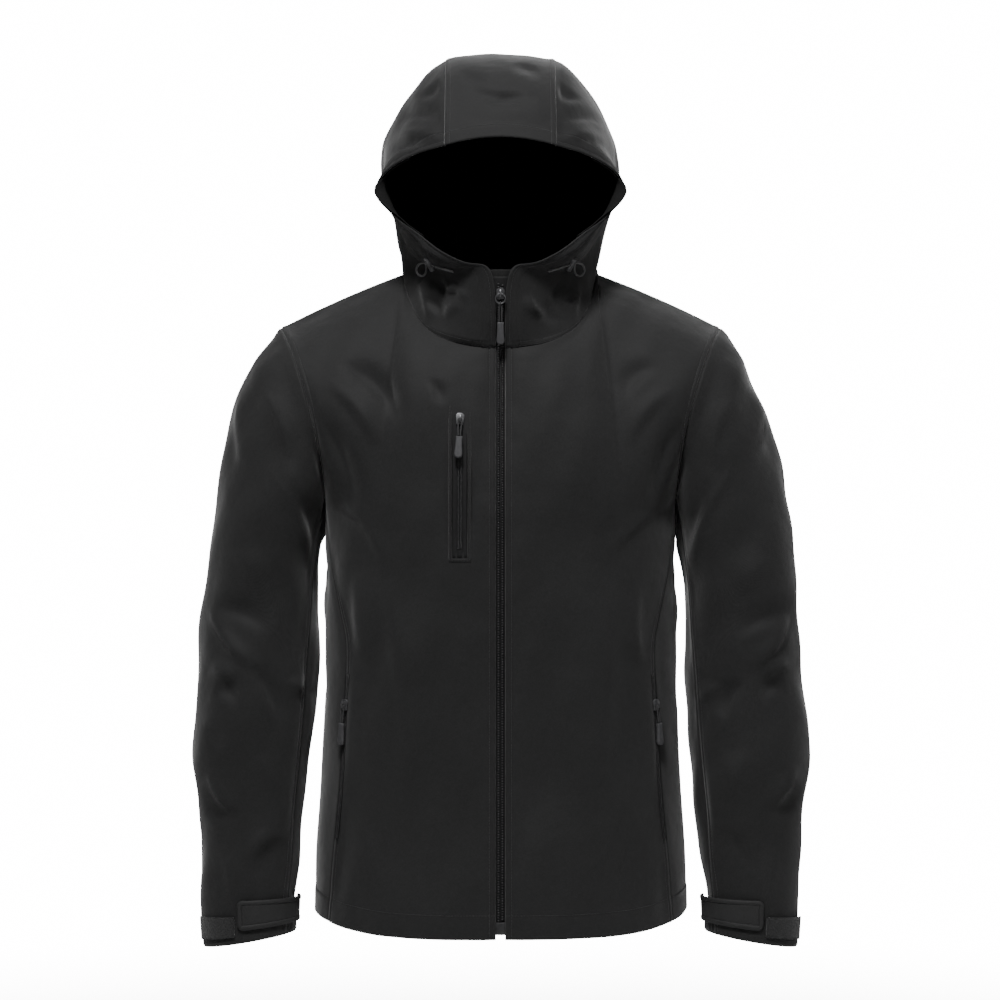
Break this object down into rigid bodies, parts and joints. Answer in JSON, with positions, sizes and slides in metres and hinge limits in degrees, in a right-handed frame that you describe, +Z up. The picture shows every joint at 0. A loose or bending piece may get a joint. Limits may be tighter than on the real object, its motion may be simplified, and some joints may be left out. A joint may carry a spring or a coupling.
{
  "type": "hooded softshell jacket",
  "caption": "Hooded softshell jacket, zipped to the chin and filled out as worn, with open face, hem and cuffs, zipped pockets and swinging zip pulls.",
  "frame": {"origin": "middle of the neck, at the height where the shoulder seams meet the neck seam", "axes": "+Z up, the front faces -Y, +X is the wearer's left"},
  "size_m": [0.6694, 0.2875, 0.9766],
  "materials": {
    "shell": "bonded softshell, fine plain weave, matt",
    "flap_cloth": "softshell, wrong side out, matt",
    "loop_patch": "hook-and-loop pile, matt",
    "zip_tape": "woven herringbone tape",
    "zip_teeth": "moulded teeth, slight shine",
    "slider": "dark grey lacquered casting",
    "pull_tip": "moulded soft rubber, satin",
    "cord": "braided cord",
    "cord_lock": "moulded, satin",
    "eyelet": "dark lacquered ring"
  },
  "bodies": {
    "jacket": {"front_left": "shell", "front_right": "shell", "side_panel_left": "shell", "side_panel_right": "shell", "back": "shell", "sleeve_top_left": "shell", "sleeve_top_right": "shell", "sleeve_under_left": "shell", "sleeve_under_right": "shell", "hood_side_left": "shell", "hood_side_right": "shell", "hood_centre": "shell", "hood_facing_left": "flap_cloth", "hood_facing_right": "flap_cloth", "storm_flap": "flap_cloth", "main_zip_tape": "zip_tape", "main_zip_chain": "zip_teeth", "main_zip_box": "zip_teeth", "main_zip_slider": "slider", "chest_welt": "shell", "chest_zip": "zip_teeth", "chest_slider": "slider", "hip_zip_left": "zip_teeth", "hip_zip_right": "zip_teeth", "hip_slider_left": "slider", "hip_slider_right": "slider", "cuff_tab_left": "shell", "cuff_tab_right": "shell", "cuff_patch_left": "loop_patch", "cuff_patch_right": "loop_patch", "drawcord_left": "cord", "drawcord_right": "cord", "cord_lock_left": "cord_lock", "cord_lock_right": "cord_lock", "eyelet_left": "eyelet", "eyelet_right": "eyelet"},
    "main_pull": {"main_pull_ring": "slider", "main_pull_cord": "cord", "main_pull_tip": "pull_tip"},
    "chest_pull": {"chest_pull_cord": "cord", "chest_pull_tip": "pull_tip"},
    "hip_pull_left": {"hip_left_pull_cord": "cord", "hip_left_pull_tip": "pull_tip"},
    "hip_pull_right": {"hip_right_pull_cord": "cord", "hip_right_pull_tip": "pull_tip"}
  },
  "joints": [
    {"name": "main_pull_swing", "type": "hinge", "parent": "jacket", "child": "main_pull", "pos_m": [0, -0.11193, -0.02831], "axis": [-1, 0, 0], "range_deg": [0, 150]},
    {"name": "chest_pull_swing", "type": "hinge", "parent": "jacket", "child": "chest_pull", "pos_m": [-0.0426, -0.12595, -0.1607], "axis": [-0.9965, -0.0545, 0.0633], "range_deg": [0, 150]},
    {"name": "hip_pull_left_swing", "type": "hinge", "parent": "jacket", "child": "hip_pull_left", "pos_m": [0.16933, -0.07854, -0.46724], "axis": [-0.6965, -0.713, -0.0808], "range_deg": [0, 150]},
    {"name": "hip_pull_right_swing", "type": "hinge", "parent": "jacket", "child": "hip_pull_right", "pos_m": [-0.16933, -0.07854, -0.46724], "axis": [-0.6965, 0.713, 0.0808], "range_deg": [0, 150]}
  ]
}
